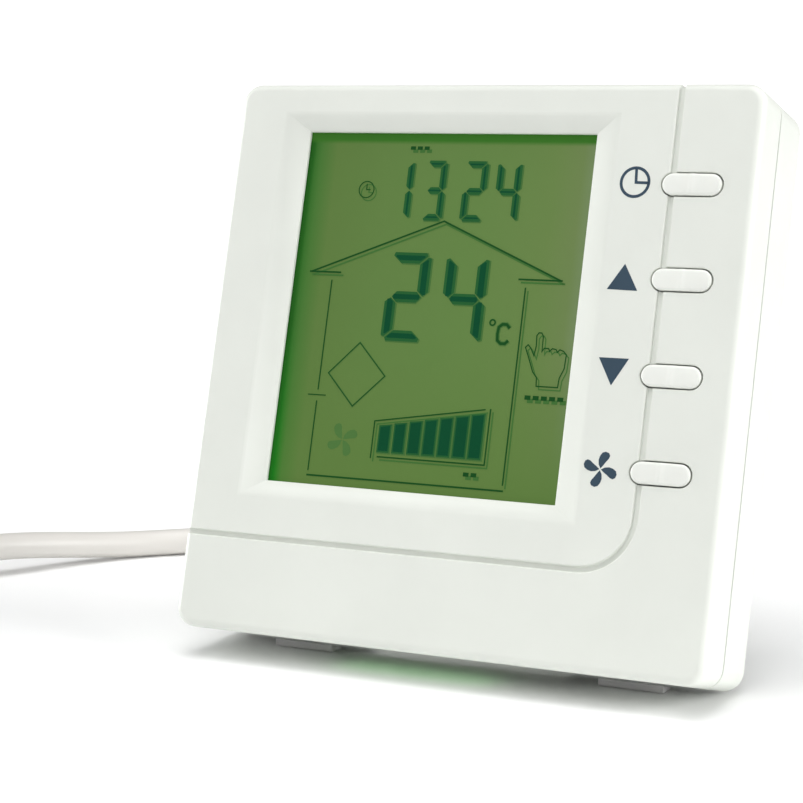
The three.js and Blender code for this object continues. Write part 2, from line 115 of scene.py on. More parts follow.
def loft(name, rings, capped=True):
    """Joins rings of equal length one to the next, with a face over each end."""
    count = len(rings[0])
    points = [point for ring in rings for point in ring]
    faces = []
    for row in range(len(rings) - 1):
        for k in range(count):
            a, b = row * count + k, row * count + (k + 1) % count
            faces.append((a, b, b + count, a + count))
    if capped:
        faces.append(tuple(reversed(range(count))))
        faces.append(tuple(range(len(points) - count, len(points))))
    return solid(name, points, faces)


def boolean(base, operation, tools):
    """Cuts the tools out of the base, or joins them to it."""
    for tool in tools:
        modifier = base.modifiers.new("step", "BOOLEAN")
        modifier.object = tool
        modifier.operation = operation
        modifier.solver = "EXACT"
    apply_modifiers(base)
    for tool in tools:
        bpy.data.objects.remove(tool)


def apply_modifiers(obj):
    """Replaces the mesh with its evaluated one."""
    graph = bpy.context.evaluated_depsgraph_get()
    mesh = bpy.data.meshes.new_from_object(obj.evaluated_get(graph))
    obj.modifiers.clear()
    obj.data = mesh


def join(first, others):
    """Puts the others' meshes into the first one, without a boolean."""
    work = bmesh.new()
    for obj in [first, *others]:
        work.from_mesh(obj.data)
    work.to_mesh(first.data)
    work.free()
    for obj in others:
        bpy.data.objects.remove(obj)
    return first


def finish_piece(obj, body, material, replaced=(), matrix=UNIT, sharp=32, weighted=True):
    obj.data.transform(matrix)
    obj.data.materials.clear()
    obj.data.materials.append(material)
    obj.data.shade_smooth()
    obj.data.set_sharp_from_angle(angle=math.radians(sharp))
    if weighted:
        normals = obj.modifiers.new("normals", "WEIGHTED_NORMAL")
        normals.keep_sharp = True
    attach(obj, body)
    if replaced:
        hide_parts(*replaced)
    return obj


def rounded(x0, x1, z0, z1, radius, steps=6):
    """Outline of a rectangle with round corners, as (x, z)."""
    if radius <= 0:
        return [(x1, z0), (x1, z1), (x0, z1), (x0, z0)]
    centres = [
        (x1 - radius, z0 + radius, -90), (x1 - radius, z1 - radius, 0),
        (x0 + radius, z1 - radius, 90), (x0 + radius, z0 + radius, 180),
    ]
    points = []
    for x, z, start in centres:
        for k in range(steps + 1):
            angle = math.radians(start + 90 * k / steps)
            points.append((x + radius * math.cos(angle), z + radius * math.sin(angle)))
    return points


def at_depth(outline, depth):
    """An outline in the face's plane, moved behind the face by depth."""
    return [(x, depth, z) for x, z in outline]


def quarter(radius, steps=4):
    """(inset, depth) pairs of a convex edge, from the front face to the wall."""
    return [
        (radius * (1 - math.sin(a)), radius * (1 - math.cos(a)))
        for a in (math.pi / 2 * k / steps for k in range(steps + 1))
    ]


def prism(name, outline, front, back):
    """A thin flat solid with an outline of any shape."""
    return loft(name, [at_depth(outline, front), at_depth(outline, back)])


def band(name, outer, inner, front, back):
    """A flat ring between two closed outlines of equal length."""
    count = len(outer)
    rings = [(outer, front), (outer, back), (inner, back), (inner, front)]
    points = [point for outline, depth in rings for point in at_depth(outline, depth)]
    faces = [
        (row * count + k, row * count + (k + 1) % count,
         (row + 1) % 4 * count + (k + 1) % count, (row + 1) % 4 * count + k)
        for row in range(4) for k in range(count)
    ]
    return solid(name, points, faces)


def offset(path, distance, closed):
    """The path moved sideways to its left by distance, with mitred corners."""
    moved = []
    count = len(path)
    for k in range(count):
        here = Vector(path[k])
        before = Vector(path[k - 1]) if closed or k > 0 else here
        after = Vector(path[(k + 1) % count]) if closed or k < count - 1 else here
        into = (here - before).normalized() if (here - before).length > 0 else None
        out = (after - here).normalized() if (after - here).length > 0 else None
        into, out = into or out, out or into
        left = Vector((-into.y - out.y, into.x + out.x)).normalized()
        stretch = max(0.35, left.dot(Vector((-into.y, into.x))))
        moved.append(tuple(here + left * (distance / stretch)))
    return moved


def stroke(name, path, width, front, back, closed=False):
    """A flat line of even width along the path."""
    left = offset(path, width / 2, closed)
    right = offset(path, -width / 2, closed)
    if closed:
        return band(name, left, right, front, back)
    return prism(name, left + right[::-1], front, back)


def circle(x, z, radius, count):
    turns = [2 * math.pi * k / count for k in range(count)]
    return [(x + radius * math.cos(turn), z + radius * math.sin(turn)) for turn in turns]


def lathe(name, profile, x, z, count=40):
    """A turned solid from (radius, depth) pairs about the depth axis at (x, z)."""
    return loft(name, [at_depth(circle(x, z, radius, count), depth) for radius, depth in profile])


# ---- materials ----------------------------------------------------------
def srgb(red, green, blue):
    """A colour given as 0 to 255 in display values."""
    def linear(value):
        value /= 255
        return value / 12.92 if value <= 0.04045 else ((value + 0.055) / 1.055) ** 2.4
    return (linear(red), linear(green), linear(blue), 1)


def new_material(name):
    material = bpy.data.materials.new(name)
    material.use_nodes = True
    tree = material.node_tree
    shader = tree.nodes["Principled BSDF"]
    place = tree.nodes.new("ShaderNodeTexCoord")
    return material, tree, shader, place.outputs["Object"]


def noise(tree, coordinates, size_mm):
    """Procedural noise whose features are about size_mm across."""
    node = tree.nodes.new("ShaderNodeTexNoise")
    node.inputs["Scale"].default_value = 1000 / size_mm
    node.inputs["Detail"].default_value = 3
    tree.links.new(coordinates, node.inputs["Vector"])
    return node.outputs["Fac"]


def spread(tree, value, low, high):
    """Maps a noise value to a range."""
    node = tree.nodes.new("ShaderNodeMapRange")
    node.inputs["From Min"].default_value = 0.3
    node.inputs["From Max"].default_value = 0.7
    node.inputs["To Min"].default_value = low
    node.inputs["To Max"].default_value = high
    tree.links.new(value, node.inputs["Value"])
    return node.outputs["Result"]


def blend_colors(tree, factor, first, second):
    node = tree.nodes.new("ShaderNodeMix")
    node.data_type = "RGBA"
    if isinstance(factor, float):
        node.inputs["Factor"].default_value = factor
    else:
        tree.links.new(factor, node.inputs["Factor"])
    for socket, color in ((node.inputs[6], first), (node.inputs[7], second)):
        if isinstance(color, tuple):
            socket.default_value = color
        else:
            tree.links.new(color, socket)
    return node.outputs[2]


def moulded(
    name, color, rough=0.42, grain=0.22, relief=0.012, shade=0.96, metal=0.0, patch=14, level=0.5,
):
    """Moulded or cast surface: fine grain, slow colour drift and uneven gloss."""
    material, tree, shader, place = new_material(name)
    darker = tuple(channel * shade for channel in color[:3]) + (1,)
    drift = spread(tree, noise(tree, place, patch), 0, 1)
    tree.links.new(blend_colors(tree, drift, darker, color), shader.inputs["Base Color"])
    gloss = spread(tree, noise(tree, place, grain * 5), rough - 0.05, rough + 0.05)
    tree.links.new(gloss, shader.inputs["Roughness"])
    bump = tree.nodes.new("ShaderNodeBump")
    bump.inputs["Strength"].default_value = 0.35
    bump.inputs["Distance"].default_value = relief * MM
    tree.links.new(noise(tree, place, grain), bump.inputs["Height"])
    tree.links.new(bump.outputs["Normal"], shader.inputs["Normal"])
    shader.inputs["Metallic"].default_value = metal
    shader.inputs["Specular IOR Level"].default_value = level
    return material


HOUSING = moulded("housing_plastic", srgb(229, 232, 225), relief=0.02)
BUTTON = moulded("button_plastic", srgb(238, 240, 234), rough=0.35, grain=0.3)
SHEATH = moulded("cord_sheath", srgb(214, 211, 206), rough=0.38, grain=0.5, relief=0.03)
GLAND = moulded("gland_rubber", srgb(224, 226, 218), rough=0.55, grain=0.25)
RUBBER = moulded(
    "foot_rubber", srgb(232, 230, 230), rough=0.75, grain=0.35, relief=0.04, shade=0.94,
)
PLUG = moulded("plug_plastic", srgb(238, 236, 226), rough=0.35, grain=0.4)
STEEL = moulded("steel", srgb(176, 180, 186), rough=0.28, grain=0.12, metal=1.0, shade=0.85)
CONTACT = moulded("contact_tin", srgb(200, 198, 188), rough=0.25, grain=0.1, metal=1.0)
INK = moulded("icon_ink", srgb(44, 68, 86), rough=0.5, grain=0.15, relief=0.005, shade=0.85)


# ---- the signal lead ----------------------------------------------------
CORD_RADIUS = 2.4
CORD_PITCH = 5.0
COIL_OUTER, COIL_INNER = 35.5, 20.5
ARRIVAL = math.radians(-28)
MEETING = (-119, 9)
COIL_CENTRE = (
    MEETING[0] - COIL_OUTER * math.cos(ARRIVAL), MEETING[1] - COIL_OUTER * math.sin(ARRIVAL),
)
SECOND_LAYER = 7.25
TAIL_X = COIL_CENTRE[0] - COIL_OUTER
TIE_ANGLE = math.radians(80)
# Turned angles, in degrees: the floor layer ends, the climb ends, the coil ends.
CLIMB_START, CLIMB_END, LAST_PHASE = 1080, 1230, 2312
TAIL_LENGTH = 37
LEAD_ROUTE = [
    (-27, 48.6, 5.1), (-27.2, 53.5, 3.9), (-28.2, 59, 3.0), (-31, 65.5, 2.5), (-36, 71.5, 2.4),
    (-43, 76, 2.4), (-51, 78.4, 2.4), (-59.5, 78.6, 2.4), (-68, 76.9, 2.4), (-75.5, 73.6, 2.4),
    (-82.6, 68.5, 2.4), (-87.4, 64.2, 2.4), (-91.2, 59.6, 2.6), (-95.2, 53.6, 3.2),
    (-98.6, 47.4, 4.0), (-101.4, 41.5, 4.7), (-104.2, 36.2, 5.0),
]
GLAND_AT = (-27, 13)
GLAND_TIP = 42


def smoothstep(value):
    value = min(1, max(0, value))
    return value * value * (3 - 2 * value)


def on_floor(x, y, z):
    """A point given by its distance behind the front edge, in the row frame."""
    return Vector((x, y + FRONT_Y, z)) * MM


def catmull_rom(points, step):
    """Centripetal Catmull-Rom curve through the points, sampled about every step."""
    ends = [points[0] * 2 - points[1], *points, points[-1] * 2 - points[-2]]
    sampled = []
    for a, b, c, d in zip(ends, ends[1:], ends[2:], ends[3:]):
        knots = [0.0]
        for p, q in ((a, b), (b, c), (c, d)):
            knots.append(knots[-1] + max((q - p).length ** 0.5, 1e-6))
        t0, t1, t2, t3 = knots
        pieces = max(2, round((c - b).length / step))
        for k in range(pieces):
            t = t1 + (t2 - t1) * k / pieces
            a1 = a * ((t1 - t) / (t1 - t0)) + b * ((t - t0) / (t1 - t0))
            a2 = b * ((t2 - t) / (t2 - t1)) + c * ((t - t1) / (t2 - t1))
            a3 = c * ((t3 - t) / (t3 - t2)) + d * ((t - t2) / (t3 - t2))
            b1 = a1 * ((t2 - t) / (t2 - t0)) + a2 * ((t - t0) / (t2 - t0))
            b2 = a2 * ((t3 - t) / (t3 - t1)) + a3 * ((t - t1) / (t3 - t1))
            sampled.append(b1 * ((t2 - t) / (t2 - t1)) + b2 * ((t - t1) / (t2 - t1)))
    return [*sampled, points[-1]]


def coil_points():
    """Two layers of turns, in along the floor and out on top of it, then the tail."""
    points = []
    phase = 6
    while phase <= LAST_PHASE:
        if phase < CLIMB_START:
            radius, height = COIL_OUTER - CORD_PITCH * phase / 360, CORD_RADIUS
        elif phase < CLIMB_END:
            radius = COIL_INNER
            climb = smoothstep((phase - CLIMB_START) / (CLIMB_END - CLIMB_START))
            height = CORD_RADIUS + (SECOND_LAYER - CORD_RADIUS) * climb
        else:
            radius, height = COIL_INNER + CORD_PITCH * (phase - CLIMB_END) / 360, SECOND_LAYER
        angle = ARRIVAL - math.radians(phase)
        away = abs((angle - TIE_ANGLE + math.pi) % (2 * math.pi) - math.pi)
        height += 0.85 * smoothstep(1 - math.degrees(away) / 35) if away < 1 else 0
        x = COIL_CENTRE[0] + radius * math.cos(angle)
        y = COIL_CENTRE[1] + radius * math.sin(angle)
        points.append(on_floor(x, y, height))
        phase += 6
    for k in range(1, 16):
        along = TAIL_LENGTH * k / 15
        fall = smoothstep((along - 8) / 28)
        points.append(on_floor(
            TAIL_X, COIL_CENTRE[1] + along, SECOND_LAYER - (SECOND_LAYER - CORD_RADIUS) * fall,
        ))
    return points


def lead_points():
    exit_point = UNIT @ Vector((GLAND_AT[0], GLAND_TIP, GLAND_AT[1]))
    route = [exit_point, *(on_floor(*point) for point in LEAD_ROUTE)]
    for before, height in ((24.5, 4.6), (20.5, 4.2), (12, 3.2), (5, 2.5)):
        x = MEETING[0] - before * math.sin(ARRIVAL)
        y = MEETING[1] + before * math.cos(ARRIVAL)
        route.append(on_floor(x, y, height))
    return catmull_rom([*route, on_floor(*MEETING, CORD_RADIUS)], 2.2 * MM), exit_point


def make_cord():
    lead, exit_point = lead_points()
    points = lead + coil_points()
    data = bpy.data.curves.new("signal_cord", "CURVE")
    data.dimensions = "3D"
    data.bevel_depth = CORD_RADIUS * MM
    data.bevel_resolution = 5
    data.use_fill_caps = True
    spline = data.splines.new("POLY")
    spline.points.add(len(points) - 1)
    for place, point in zip(spline.points, points):
        place.co = (*point, 1)
        place.radius = 1
    spline.use_smooth = True
    cord = add_object("signal_cord", data)
    data.materials.append(SHEATH)
    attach(cord, "housing")
    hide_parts("cord_lead", "cord_coil", "cord_tail")
    length = sum((b - a).length for a, b in zip(points, points[1:]))
    return cord, exit_point, length


cord, cord_exit, cord_length = make_cord()


def make_tie():
    """A hook-and-loop strap round the coil."""
    inner, outer, top = 17.6, 38.4, 11.2
    thick, wide, corner = 0.8, 7.8, 2.4
    bow = 0.6
    path = rounded(inner - bow, outer, thick, top, corner, 5)
    outside = rounded(inner - bow - thick, outer + thick, 0, top + thick, corner + thick, 5)

    def across(outline, y):
        return [(x, y, z) for x, z in outline]

    edge = 0.25
    rings = [
        across(path, -wide / 2 + edge), across(path, wide / 2 - edge),
        across([(x * 0.985 + 0.42, z * 0.98 + 0.15) for x, z in path], wide / 2),
        across([(x * 1.004 - 0.1, z * 0.99 + 0.02) for x, z in outside], wide / 2),
        across(outside, wide / 2 - edge), across(outside, -wide / 2 + edge),
        across([(x * 1.004 - 0.1, z * 0.99 + 0.02) for x, z in outside], -wide / 2),
        across([(x * 0.985 + 0.42, z * 0.98 + 0.15) for x, z in path], -wide / 2),
    ]
    rings.append(rings[0])
    tie = loft("cord_tie_strap", rings, capped=False)
    place = (
        Matrix.Translation(on_floor(COIL_CENTRE[0], COIL_CENTRE[1], 0))
        @ Matrix.Rotation(TIE_ANGLE, 4, "Z") @ Matrix.Scale(MM, 4)
    )
    material, tree, shader, coordinates = new_material("tie_fabric")
    weave = tree.nodes.new("ShaderNodeTexVoronoi")
    weave.inputs["Scale"].default_value = 1900
    tree.links.new(coordinates, weave.inputs["Vector"])
    tree.links.new(
        blend_colors(tree, weave.outputs["Distance"], srgb(34, 36, 40), srgb(78, 80, 86)),
        shader.inputs["Base Color"],
    )
    bump = tree.nodes.new("ShaderNodeBump")
    bump.inputs["Strength"].default_value = 0.6
    bump.inputs["Distance"].default_value = 0.12 * MM
    tree.links.new(weave.outputs["Distance"], bump.inputs["Height"])
    tree.links.new(bump.outputs["Normal"], shader.inputs["Normal"])
    shader.inputs["Roughness"].default_value = 0.85
    return finish_piece(tie, "housing", material, ["cord_tie"], matrix=place)


def make_plug():
    """A four-way wire-to-board connector with latch, ribs and contacts."""
    def shell(x0, x1, half, z0, z1, radius, edge):
        rings = [(x0 + along, inset) for inset, along in quarter(edge, 3)]
        rings += [(x1 - along, inset) for inset, along in reversed(quarter(edge, 3))]
        return [
            [(x, y, z) for y, z in rounded(
                inset - half, half - inset, z0 + inset, z1 - inset, radius - inset * 0.5, 3)]
            for x, inset in rings
        ]

    def bar(name, x0, x1, centre, half, z0, z1, radius):
        return loft(name, [
            [(x, y, z) for y, z in rounded(centre - half, centre + half, z0, z1, radius, 3)]
            for x in (x0, x1)
        ])

    body = loft("plug_body", shell(5.5, 17, 4.95, 0.05, 6.75, 0.7, 0.35))
    boolean(body, "UNION", [loft("neck", shell(0.1, 6, 3.35, 0.25, 5.95, 1.6, 0.5))])
    tools = [
        loft("cavity", shell(9, 19, 3.8, 1.2, 5.6, 0.5, 0.15)),
        loft("window", shell(10.5, 13.5, 0.55, 6.1, 8, 0.2, 0.05)),
        loft("notch", shell(14.6, 18, 1.6, 6.0, 8, 0.2, 0.05)),
    ]
    tools += [bar("rail", 8.5, 18, side * 4.95, 0.35, 2.6, 4.2, 0.3) for side in (-1, 1)]
    boolean(body, "DIFFERENCE", tools)
    placed = (
        Matrix.Translation(on_floor(TAIL_X, COIL_CENTRE[1] + TAIL_LENGTH + 0.3, 0))
        @ Matrix.Rotation(math.pi / 2, 4, "Z") @ Matrix.Scale(MM, 4)
    )
    finish_piece(body, "housing", PLUG, ["cord_plug"], matrix=placed)
    contacts = [
        bar("plug_contacts", 9.1, 16.2, k * 1.9, 0.55, 2.5, 4.3, 0.15)
        for k in (-1.5, -0.5, 0.5, 1.5)
    ]
    pins = join(contacts[0], contacts[1:])
    finish_piece(pins, "housing", CONTACT, matrix=placed)
    return [body, pins]


tie = make_tie()
plug_pieces = make_plug()


# ---- front cover --------------------------------------------------------
SEAM_BACK, REAR_FACE = 8.4, 20.0
ROD_BORE = 1.25
WINDOW = (-30.66, 17.38, 23.56, 78.64)
BEZEL = (-34.41, 21.23, 21.07, 81.31)
GROOVE_X, GROOVE_Z, GROOVE_RADIUS = 30.35, 14.6, 8.2
BUTTON_X, BUTTON_LENGTH, BUTTON_WIDTH, HOLE_PLAY = 33.36, 9.0, 3.2, 0.2
BUTTON_HEIGHTS = {"clock": 71.0, "up": 57.05, "down": 43.1, "fan": 29.15}
BOSS_X = 37.5
POSTS = [(x, z) for z in (7, 79.4, 21, 64) for x in (-BOSS_X, BOSS_X)]


def square(inset):
    """The housing's outline, drawn in by inset."""
    return rounded(-HALF + inset, HALF - inset, inset, SIDE - inset, max(3 - inset, 0.8), 8)


def bezel_tool():
    """Rings from the face down the sloped frame and through the window."""
    def ring(t, out, depth):
        x0, x1, z0, z1 = (b + (w - b) * t for b, w in zip(BEZEL, WINDOW))
        return [
            (x1 + out, depth, z0 - out), (x1 + out, depth, z1 + out),
            (x0 - out, depth, z1 + out), (x0 - out, depth, z0 - out),
        ]

    rings = [ring(0, 0.3, -1), ring(0, 0.3, -0.003), ring(0, 0.14, 0.02)]
    rings += [ring(0.05, 0.03, 0.075), ring(0.1, 0, 0.15), ring(0.92, 0, 1.38)]
    rings += [ring(0.965, 0, 1.46), ring(0.99, 0, 1.53), ring(1, 0, 1.62), ring(1, 0, 3)]
    return loft("bezel", rings)


def obround_rings(z, length, width, profile):
    """Rings of an obround hole or cap, from (inset, depth) pairs."""
    rings = []
    for inset, depth in profile:
        radius = max(width / 2 - inset, 0.001)
        reach = length / 2 - width / 2
        outline = []
        for side, start in ((1, -90), (-1, 90)):
            for k in range(11):
                angle = math.radians(start + 18 * k)
                x = BUTTON_X + side * reach + radius * math.cos(angle)
                outline.append((x, z + radius * math.sin(angle)))
        rings.append(at_depth(outline, depth))
    return rings


def hole_tool(z):
    """A button's hole with a rounded edge."""
    play = 2 * HOLE_PLAY
    flare = [(-0.22, -1), (-0.22, -0.003), (-0.11, 0.03), (-0.03, 0.11), (0, 0.22), (0, 4)]
    return loft("hole", obround_rings(z, BUTTON_LENGTH + play, BUTTON_WIDTH + play, flare))


def groove_tool():
    """The fine groove: down from the top, round a quarter turn, out to the left."""
    path = [(GROOVE_X, SIDE + 4), (GROOVE_X, GROOVE_Z + GROOVE_RADIUS)]
    for k in range(1, 17):
        angle = -math.pi / 2 * k / 16
        path.append((
            GROOVE_X - GROOVE_RADIUS + GROOVE_RADIUS * math.cos(angle),
            GROOVE_Z + GROOVE_RADIUS + GROOVE_RADIUS * math.sin(angle),
        ))
    path.append((-HALF - 4, GROOVE_Z))
    section = [
        (-0.75, -1), (-0.75, -0.003), (-0.58, 0.03), (-0.48, 0.12), (-0.42, 0.52), (-0.34, 0.6),
        (0.34, 0.6), (0.42, 0.52), (0.46, 0.12), (0.53, 0.03), (0.65, -0.003), (0.65, -1),
    ]
    sides = [offset(path, across, False) for across, _ in section]
    rings = [
        [(side[k][0], depth, side[k][1]) for side, (_, depth) in zip(sides, section)]
        for k in range(len(path))
    ]
    return loft("groove", rings)


def notch_tools():
    """The groove's ends, carried over the left and the top wall."""
    section = [
        (-0.62, -1), (-0.5, 0.02), (-0.42, 0.15), (-0.38, 0.5),
        (0.38, 0.5), (0.42, 0.15), (0.5, 0.02), (0.62, -1),
    ]
    left = loft("notch_left", [
        [(-HALF + inner, depth, GROOVE_Z + across) for across, inner in section]
        for depth in (-1, SEAM_BACK + 2)
    ])
    top = loft("notch_top", [
        [(GROOVE_X + across, depth, SIDE - inner) for across, inner in section]
        for depth in (-1, SEAM_BACK + 2)
    ])
    return [left, top]


def make_front_cover():
    profile = quarter(1.3, 8) + [
        (0, 7.8), (0.06, 7.94), (0.2, 8.0), (2.3, 8.0), (2.3, 9.8), (3.4, 9.8),
        (3.4, 6), (2, 6), (2, 2),
    ]
    cover = loft("front_cover_shell", [at_depth(square(inset), depth) for inset, depth in profile])
    boolean(cover, "UNION", [
        lathe("post", [(2.6, 1.8), (2.6, 8.1), (2.4, 8.3)], x, z, 28) for x, z in POSTS
    ])
    tools = [hole_tool(z) for z in BUTTON_HEIGHTS.values()]
    tools += [lathe("bore", [(1.3, 4), (1.3, 12)], x, z, 20) for x, z in POSTS]
    boolean(cover, "DIFFERENCE", [bezel_tool(), *tools])
    boolean(cover, "DIFFERENCE", [groove_tool()])
    boolean(cover, "DIFFERENCE", notch_tools())
    finish_piece(cover, "housing", HOUSING, ["front_cover"])


make_front_cover()


# ---- push buttons -------------------------------------------------------
def make_button(name, z):
    """A cap with a soft cross ridge on its crown, a flange and a stem."""
    crown = 0.4
    reach = (BUTTON_LENGTH - BUTTON_WIDTH) / 2
    half = BUTTON_WIDTH / 2
    across = [reach * k / 10 for k in range(10, -11, -1)]

    def height(x, y):
        ridge = 0.13 * math.exp(-((x / 0.4) ** 2))
        return -crown + 0.12 - ridge + 0.05 * (y / half) ** 2 + 0.06 * (abs(x) / 4.5) ** 2

    def ring(inset, drop):
        radius = max(half - inset, 0)
        outline = []
        for side, start, row in ((1, -90, across), (-1, 90, across[::-1])):
            for k in range(13):
                angle = math.radians(start + 180 * k / 12)
                outline.append((side * reach + radius * math.cos(angle), radius * math.sin(angle)))
            outline += [(x, side * radius) for x in row[1:-1]]
        return [(BUTTON_X + x, height(x, y) + drop, z + y) for x, y in outline]

    def flat(inset, depth):
        return [(x, depth, z0) for x, _, z0 in ring(inset, 0)]

    rings = [ring(inset, 0) for inset in (half, 1.3, 1.0, 0.7, 0.45)]
    rings += [ring(0.3, 0.015), ring(0.16, 0.06), ring(0.06, 0.15), ring(0, 0.3)]
    rings += [flat(0, 2.3), flat(-1, 2.3), flat(-1, 3.1), flat(1.2, 3.1)]
    cap = loft(f"button_{name}_cap", rings)
    stem = lathe("stem", [(1.4, 2.9), (1.4, 3.6)], BUTTON_X, z, 24)
    boolean(cap, "UNION", [stem])
    finish_piece(cap, f"button_{name}", BUTTON, [f"button_{name}"], sharp=45)


for button_name, button_height in BUTTON_HEIGHTS.items():
    make_button(button_name, button_height)


# ---- printed symbols ----------------------------------------------------
def from_left(points):
    """Turns distances from the left edge into x."""
    return [(u - HALF, v) for u, v in points]


def fan_blades(u, v, size, turned):
    """Outlines of the four blades of a fan symbol."""
    blades = []
    for turn in range(4):
        angle = math.radians(turned - 90 * turn)
        blades.append([
            (u - HALF + size * (x * math.cos(angle) - y * math.sin(angle)),
             v + size * (x * math.sin(angle) + y * math.cos(angle)))
            for x, y in (
                (0.42, 0.62), (0.78, 1.15), (1.15, 1.6), (1.3, 2.02), (1.1, 2.4), (0.6, 2.58),
                (0.1, 2.42), (-0.22, 1.95), (-0.38, 1.35), (-0.3, 0.7), (0.02, 0.12),
            )
        ])
    return blades


def make_icons():
    front, back = -0.02, 0.01
    dial = circle(67.7 - HALF, 71.15, 2.13, 48)
    ring = stroke("icon_print", dial, 0.44, front, back, closed=True)
    hands = [(67.72, 73.2), (67.85, 71.12), (69.8, 71.08)]
    parts = [
        stroke("hands", from_left(hands), 0.42, front, back),
        prism("up", from_left([(65.2, 55.3), (69.9, 55.2), (67.6, 59.1)]), front, back),
        prism("down", from_left([(65.2, 45.3), (67.5, 41.3), (69.8, 45.3)]), front, back),
    ]
    parts += [prism("blade", blade, front, back) for blade in fan_blades(67.3, 29.15, 1, 0)]
    finish_piece(join(ring, parts), "housing", INK, weighted=False)


make_icons()


# ---- display ------------------------------------------------------------
LCD = (-32.64, 19.36, 21.3, 80.9)
LCD_FRONT = 2.3


def light_from_behind(tree, shader, color):
    """Half of the colour is reflected by the surface and half glows through it."""
    half = blend_colors(tree, 0.5, color, (0.0, 0.0, 0.0, 1.0))
    tree.links.new(half, shader.inputs["Base Color"])
    tree.links.new(color, shader.inputs["Emission Color"])
    shader.inputs["Emission Strength"].default_value = 0.5
    shader.inputs["Specular IOR Level"].default_value = 0.08


def glowing(name, color):
    """A display colour that is partly lit from behind."""
    material, tree, shader, place = new_material(name)
    darker = tuple(channel * 0.93 for channel in color[:3]) + (1,)
    mixed = blend_colors(tree, spread(tree, noise(tree, place, 6), 0, 1), darker, color)
    light_from_behind(tree, shader, mixed)
    shader.inputs["Roughness"].default_value = 0.45
    return material


def ramp(tree, value, stops):
    node = tree.nodes.new("ShaderNodeValToRGB")
    elements = node.color_ramp.elements
    while len(elements) < len(stops):
        elements.new(0.5)
    for element, (position, color) in zip(elements, stops):
        element.position = position
        element.color = color
    tree.links.new(value, node.inputs["Fac"])
    return node.outputs["Color"]


def display_material():
    """Green backlight with painted shade: darker, more saturated green along the top and left edge
    of the window, where the bezel's shadow falls on the recessed glass.
    """
    material, tree, shader, place = new_material("lcd_backlight_painted_shade")

    def along(direction, start, end):
        """0 to 1 between two places along a direction of the unit, in millimetres."""
        dot = tree.nodes.new("ShaderNodeVectorMath")
        dot.operation = "DOT_PRODUCT"
        dot.inputs[1].default_value = direction
        tree.links.new(place, dot.inputs[0])
        node = tree.nodes.new("ShaderNodeMapRange")
        base = CORNER_EDGE.dot(direction)
        node.inputs["From Min"].default_value = base + start * MM
        node.inputs["From Max"].default_value = base + end * MM
        tree.links.new(dot.outputs["Value"], node.inputs["Value"])
        return node.outputs["Result"]

    window_left = 12.3 - HALF
    sideways = along(RIGHT, window_left, window_left + 48)
    # Painted shade: the first stops darken the left edge of the window, where the left bezel wall's
    # shadow falls; the last stops are paler towards the right edge.
    across = ramp(tree, sideways, [
        (0.0, srgb(34, 92, 28)), (0.012, srgb(36, 95, 29)), (0.023, srgb(57, 110, 44)),
        (0.042, srgb(72, 117, 53)), (0.1, srgb(94, 123, 64)), (0.3, srgb(97, 127, 68)),
        (0.62, srgb(99, 130, 70)), (0.87, srgb(104, 131, 73)), (0.96, srgb(110, 132, 80)),
        (1.0, srgb(117, 137, 96)),
    ])
    # Painted shade: a darker, more saturated green along the left edge, blended in towards the
    # bottom of the window.
    left_wall_shade = ramp(tree, sideways, [
        (0.0, srgb(34, 108, 30)), (0.012, srgb(24, 116, 26)), (0.024, srgb(48, 121, 38)),
        (0.042, srgb(78, 122, 54)), (0.1, srgb(94, 124, 63)),
    ])
    across = blend_colors(tree, along(UP, 48, 24), across, left_wall_shade)
    # Painted shade: the top bezel's shadow, a darker green band along the top edge of the window.
    top_bezel_shade = along(UP, 76.95, 77.6)
    body = blend_colors(tree, top_bezel_shade, across, srgb(58, 114, 38))
    cloud = spread(tree, noise(tree, place, 9), 0, 0.05)
    mixed = blend_colors(tree, cloud, body, srgb(60, 120, 40))
    light_from_behind(tree, shader, mixed)
    shader.inputs["Roughness"].default_value = 0.4
    return material


def make_lcd_cell():
    """The glass cell with its polariser."""
    x0, x1, z0, z1 = LCD

    def outline(inset):
        return rounded(x0 + inset, x1 - inset, z0 + inset, z1 - inset, 0.4, 2)

    rings = [at_depth(outline(inset), depth) for inset, depth in (
        (0.7, LCD_FRONT), (0.55, LCD_FRONT + 0.15), (0.2, LCD_FRONT + 0.2), (0, LCD_FRONT + 0.35),
        (0, 3.15), (0.1, 3.2), (0.1, 3.3), (0, 3.35), (0, 4.2), (0.15, 4.3),
    )]
    cell = loft("lcd_cell", rings)
    finish_piece(cell, "housing", display_material(), ["lcd_glass"])


